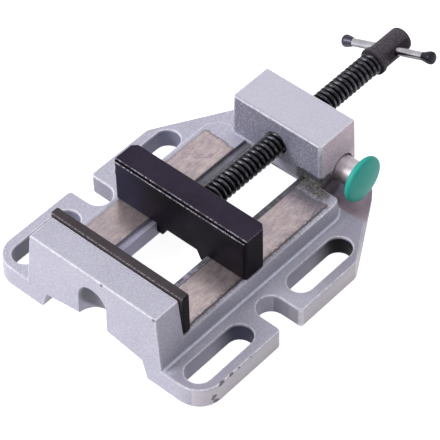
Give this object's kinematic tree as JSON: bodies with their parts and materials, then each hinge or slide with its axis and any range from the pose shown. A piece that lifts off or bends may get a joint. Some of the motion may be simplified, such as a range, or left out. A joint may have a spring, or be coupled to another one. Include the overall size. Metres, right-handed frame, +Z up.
{
  "type": "drill press vise",
  "caption": "Low drill-press vise with slotted cast base, fixed and sliding jaws, screw with sliding bar handle, and a sprung release button.",
  "frame": {"origin": "on the table under the middle of the whole vise", "axes": "+Y from the fixed jaw towards the handle, +X towards the release button, +Z up"},
  "size_m": [0.1306, 0.2196, 0.0458],
  "materials": {
    "silver_grey_paint": "cast iron in silver-grey hammertone paint, with the ways machined bare",
    "gunmetal": "hardened steel, dark and satin",
    "black_jaw": "blackened steel, satin",
    "black_oxide": "black oxide, oiled",
    "dark_head": "blackened steel, matt",
    "bright_steel": "bright plated",
    "bar_knob": "dark bright-plated",
    "raw_steel": "turned, bare",
    "teal_plastic": "moulded, satin"
  },
  "bodies": {
    "base": {"base_casting": "silver_grey_paint", "fixed_jaw_plate": "gunmetal", "fixed_plate_screw_left": "raw_steel", "fixed_plate_screw_right": "raw_steel", "release_spring": "raw_steel"},
    "jaw": {"movable_jaw": "black_jaw", "keeper_plate": "black_jaw", "keeper_screw_left": "raw_steel", "keeper_screw_right": "raw_steel", "spindle_retaining_pin_left": "raw_steel", "spindle_retaining_pin_right": "raw_steel"},
    "screw": {"spindle": "black_oxide", "spindle_head": "dark_head", "head_pin": "raw_steel"},
    "handle_bar": {"tommy_bar": "bright_steel", "bar_end_left": "bar_knob", "bar_end_right": "bar_knob"},
    "plunger": {"release_plunger": "raw_steel", "button_cap": "teal_plastic"}
  },
  "joints": [
    {"name": "jaw_slide", "type": "slide", "parent": "base", "child": "jaw", "axis": [0, 1, 0], "range_m": [-0.036, 0.0526]},
    {"name": "spindle_turn", "type": "hinge", "parent": "jaw", "child": "screw", "pos_m": [0, -0.0367, 0.0308], "axis": [0, 1, 0], "range_deg": [-4330, 6320]},
    {"name": "bar_slide", "type": "slide", "parent": "screw", "child": "handle_bar", "axis": [0.9311, 0, 0.3649], "range_m": [-0.0162, 0.0162]},
    {"name": "release_press", "type": "slide", "parent": "base", "child": "plunger", "axis": [-1, 0, 0], "range_m": [0, 0.0035], "stiffness_N_per_m": 900, "springref_m": -0.004, "deforming": ["release_spring"]}
  ],
  "couplings": [
    {"joint": "spindle_turn", "follows": "jaw_slide", "rad_per_m": 2094.4}
  ]
}
